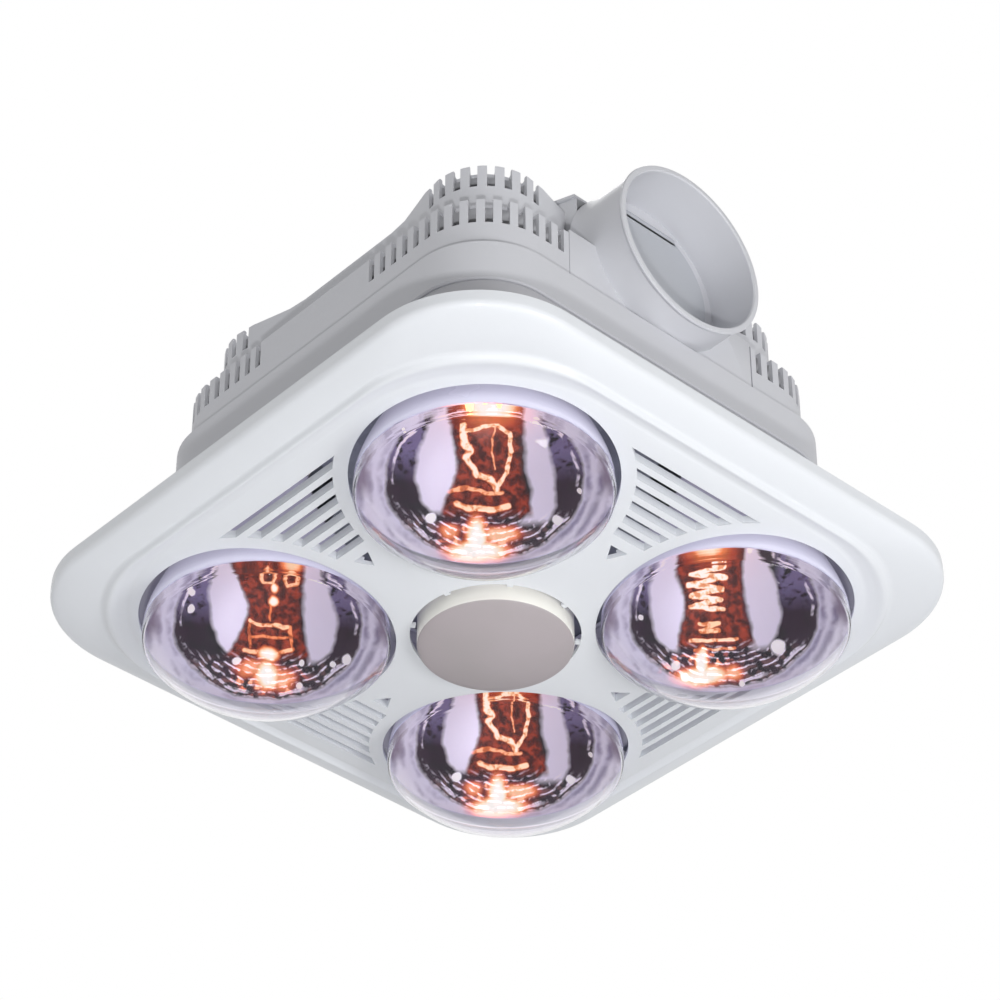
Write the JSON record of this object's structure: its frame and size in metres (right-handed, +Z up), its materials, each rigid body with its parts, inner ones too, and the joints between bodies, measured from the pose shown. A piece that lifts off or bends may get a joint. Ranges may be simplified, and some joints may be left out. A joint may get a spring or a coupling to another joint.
{
  "type": "bathroom ceiling heater",
  "caption": "Square ceiling unit for a bathroom: reflector heat lamps round a centre light in a white fascia, under a stepped housing with an exhaust fan and side duct.",
  "frame": {"origin": "centre of the ceiling opening, on the face of the ceiling", "axes": "+Z up into the ceiling space, -Y along the duct, away from the unit"},
  "size_m": [0.354, 0.354, 0.2525],
  "materials": {
    "fascia_plastic": "white, glossy moulding",
    "housing_plastic": "light grey moulding",
    "frame_plastic": "grey moulding",
    "galvanised_steel": "galvanised sheet",
    "bright_steel": "bright turned or plated steel",
    "spring_steel": "dark spring strip",
    "lamp_glass": "clear face with a mirrored back",
    "frosted_glass": "frosted face, white side",
    "tungsten": "glowing coiled wire",
    "brass": "screw caps",
    "ceramic": null,
    "copper": "varnished copper winding",
    "black_plastic": "black moulding",
    "white_plastic": "off-white moulding"
  },
  "bodies": {
    "housing": {"mounting_frame": "frame_plastic", "frame_screw_1": "bright_steel", "frame_screw_2": "bright_steel", "frame_screw_3": "bright_steel", "frame_screw_4": "bright_steel", "heat_shield": "galvanised_steel", "housing_base": "housing_plastic", "housing_lower_tier": "housing_plastic", "housing_upper_tier": "housing_plastic", "duct_collar": "housing_plastic", "flap_pin": "bright_steel", "fan_deck": "galvanised_steel", "inlet_ring": "galvanised_steel", "holder_bridge": "galvanised_steel", "fan_scroll": "galvanised_steel", "scroll_cover": "galvanised_steel", "motor_plate": "galvanised_steel", "motor_can": "galvanised_steel", "motor_stator": "copper", "motor_bearing_lower": "bright_steel", "motor_bearing_upper": "bright_steel", "lamp_holder_1": "ceramic", "holder_ring_1": "galvanised_steel", "lamp_holder_2": "ceramic", "holder_ring_2": "galvanised_steel", "lamp_holder_3": "ceramic", "holder_ring_3": "galvanised_steel", "lamp_holder_4": "ceramic", "holder_ring_4": "galvanised_steel", "globe_holder": "ceramic", "terminal_box": "white_plastic", "terminal_box_cover": "white_plastic", "terminal_block": "white_plastic", "cable_gland": "black_plastic"},
    "fascia_panel": {"fascia": "fascia_plastic", "fascia_spring_1": "spring_steel", "fascia_spring_2": "spring_steel", "fascia_spring_3": "spring_steel", "fascia_spring_4": "spring_steel"},
    "fan_rotor": {"impeller": "black_plastic", "impeller_nut": "bright_steel", "motor_shaft": "bright_steel", "motor_rotor": "bright_steel"},
    "flap": {"backdraft_flap": "white_plastic"},
    "centre_lamp": {"globe_glass": "frosted_glass", "globe_cap": "brass"},
    "heat_lamp_1": {"lamp_glass_1": "lamp_glass", "lamp_cap_1": "brass", "lamp_filament_1": "tungsten"},
    "heat_lamp_2": {"lamp_glass_2": "lamp_glass", "lamp_cap_2": "brass", "lamp_filament_2": "tungsten"},
    "heat_lamp_3": {"lamp_glass_3": "lamp_glass", "lamp_cap_3": "brass", "lamp_filament_3": "tungsten"},
    "heat_lamp_4": {"lamp_glass_4": "lamp_glass", "lamp_cap_4": "brass", "lamp_filament_4": "tungsten"}
  },
  "joints": [
    {"name": "fascia_pull", "type": "slide", "parent": "housing", "child": "fascia_panel", "axis": [0, 0, -1], "range_m": [0, 0.06]},
    {"name": "fan_spin", "type": "hinge", "parent": "housing", "child": "fan_rotor", "pos_m": [0, 0, 0.14], "axis": [0, 0, 1], "continuous": true},
    {"name": "flap_swing", "type": "hinge", "parent": "housing", "child": "flap", "pos_m": [0, -0.1131, 0.1688], "axis": [-1, 0, 0], "range_deg": [0, 50]},
    {"name": "heat_lamp_1_unscrew", "type": "slide", "parent": "housing", "child": "heat_lamp_1", "axis": [0, 0, -1], "range_m": [0, 0.027]},
    {"name": "heat_lamp_2_unscrew", "type": "slide", "parent": "housing", "child": "heat_lamp_2", "axis": [0, 0, -1], "range_m": [0, 0.027]},
    {"name": "heat_lamp_3_unscrew", "type": "slide", "parent": "housing", "child": "heat_lamp_3", "axis": [0, 0, -1], "range_m": [0, 0.027]},
    {"name": "heat_lamp_4_unscrew", "type": "slide", "parent": "housing", "child": "heat_lamp_4", "axis": [0, 0, -1], "range_m": [0, 0.027]},
    {"name": "centre_lamp_unscrew", "type": "slide", "parent": "housing", "child": "centre_lamp", "axis": [0, 0, -1], "range_m": [0, 0.027]}
  ]
}
